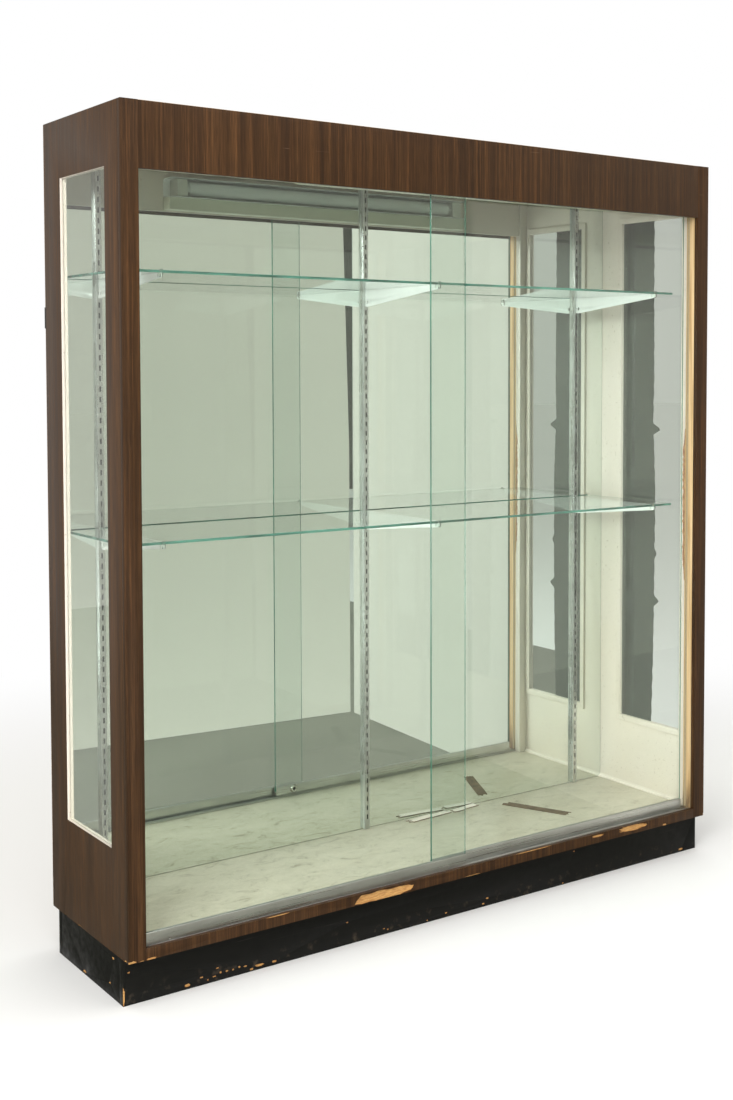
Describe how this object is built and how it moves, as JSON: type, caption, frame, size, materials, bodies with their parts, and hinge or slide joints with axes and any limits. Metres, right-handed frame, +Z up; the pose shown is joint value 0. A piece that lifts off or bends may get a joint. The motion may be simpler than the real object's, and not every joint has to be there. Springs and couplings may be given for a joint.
{
  "type": "glass display showcase",
  "caption": "Wall display showcase: mirror-backed cabinet on a recessed plinth, glass shelves on slotted standards, end windows, a strip light and glass doors that roll past each other.",
  "frame": {"origin": "on the floor, under the middle of the case", "axes": "+Z up, +X to the right seen from the front, -Y towards the front"},
  "size_m": [1.778, 0.4514, 1.981],
  "materials": {
    "walnut_laminate": "worn satin laminate with a walnut grain",
    "bare_wood": "bare wood, scuffed",
    "cream_paint": "painted board, satin",
    "marbled_lining": "marbled sheet, satin",
    "hardboard": "bare hardboard",
    "black_laminate": "black laminate, chipped along the lower edge",
    "black_steel": "black paint",
    "mirror": "silvered glass",
    "window_glass": "clear",
    "dark_film": "dark film, torn edge",
    "aluminium": "satin anodised",
    "felt": "aged felt",
    "plated_steel": "zinc plated",
    "cream_steel": "gloss paint",
    "white_steel": "gloss white paint",
    "lamp_glass": "opal",
    "white_plastic": "moulded",
    "door_glass": "clear float glass, green at the edges",
    "nylon": "moulded",
    "shelf_glass": "clear float glass, polished green edges",
    "clear_plastic": "clear"
  },
  "bodies": {
    "case": {"end_panel_left": "walnut_laminate", "end_panel_right": "walnut_laminate", "stile_left": "walnut_laminate", "stile_right": "walnut_laminate", "header": "walnut_laminate", "bottom_rail": "walnut_laminate", "jamb_left": "bare_wood", "jamb_right": "bare_wood", "stop_left": "cream_paint", "stop_right": "cream_paint", "top_panel": "walnut_laminate", "deck_panel": "walnut_laminate", "floor_lining": "marbled_lining", "floor_beads": "cream_paint", "back_panel": "hardboard", "corner_straps": "black_steel", "mirror_sheet": "mirror", "head_board": "cream_paint", "head_block": "cream_paint", "window_glass_left": "window_glass", "window_glass_right": "window_glass", "window_bead_left": "cream_paint", "window_bead_right": "cream_paint", "window_film": "dark_film", "plinth_front": "black_laminate", "plinth_back": "black_laminate", "plinth_left": "black_laminate", "plinth_right": "black_laminate", "top_track": "aluminium", "bottom_track": "aluminium", "door_bumpers": "felt", "standard_left": "plated_steel", "standard_centre": "plated_steel", "standard_right": "plated_steel", "light_housing": "cream_steel", "light_reflector": "white_steel", "light_tube": "lamp_glass", "lamp_holders": "white_plastic"},
    "left_door": {"left_glass": "door_glass", "left_shoe": "aluminium", "left_axles": "plated_steel"},
    "right_door": {"right_glass": "door_glass", "right_shoe": "aluminium", "right_axles": "plated_steel", "lock_ferrule": "aluminium"},
    "left_roller_a": {"left_roller_a": "nylon"},
    "left_roller_b": {"left_roller_b": "nylon"},
    "right_roller_a": {"right_roller_a": "nylon"},
    "right_roller_b": {"right_roller_b": "nylon"},
    "upper_shelf": {"upper_shelf": "shelf_glass", "upper_bracket_left": "white_steel", "upper_bracket_centre": "white_steel", "upper_bracket_right": "white_steel", "upper_clips": "clear_plastic"},
    "lower_shelf": {"lower_shelf": "shelf_glass", "lower_bracket_left": "white_steel", "lower_bracket_centre": "white_steel", "lower_bracket_right": "white_steel", "lower_clips": "clear_plastic"}
  },
  "joints": [
    {"name": "left_door_slide", "type": "slide", "parent": "case", "child": "left_door", "axis": [1, 0, 0], "range_m": [0, 0.8074]},
    {"name": "right_door_slide", "type": "slide", "parent": "case", "child": "right_door", "axis": [-1, 0, 0], "range_m": [-0.0207, 0.7867]},
    {"name": "left_roller_a_spin", "type": "hinge", "parent": "left_door", "child": "left_roller_a", "pos_m": [-0.7862, -0.20475, 0.1364], "axis": [0, 1, 0], "continuous": true},
    {"name": "left_roller_b_spin", "type": "hinge", "parent": "left_door", "child": "left_roller_b", "pos_m": [-0.0212, -0.20475, 0.1364], "axis": [0, 1, 0], "continuous": true},
    {"name": "right_roller_a_spin", "type": "hinge", "parent": "right_door", "child": "right_roller_a", "pos_m": [0.0005, -0.19025, 0.1364], "axis": [0, 1, 0], "continuous": true},
    {"name": "right_roller_b_spin", "type": "hinge", "parent": "right_door", "child": "right_roller_b", "pos_m": [0.7655, -0.19025, 0.1364], "axis": [0, 1, 0], "continuous": true},
    {"name": "upper_shelf_height", "type": "slide", "parent": "case", "child": "upper_shelf", "axis": [0, 0, 1], "range_m": [-0.1524, 0.1524]},
    {"name": "lower_shelf_height", "type": "slide", "parent": "case", "child": "lower_shelf", "axis": [0, 0, 1], "range_m": [-0.1524, 0.1524]}
  ],
  "couplings": [
    {"joint": "left_roller_a_spin", "follows": "left_door_slide", "rad_per_m": 200},
    {"joint": "left_roller_b_spin", "follows": "left_door_slide", "rad_per_m": 200},
    {"joint": "right_roller_a_spin", "follows": "right_door_slide", "rad_per_m": -200},
    {"joint": "right_roller_b_spin", "follows": "right_door_slide", "rad_per_m": -200}
  ]
}
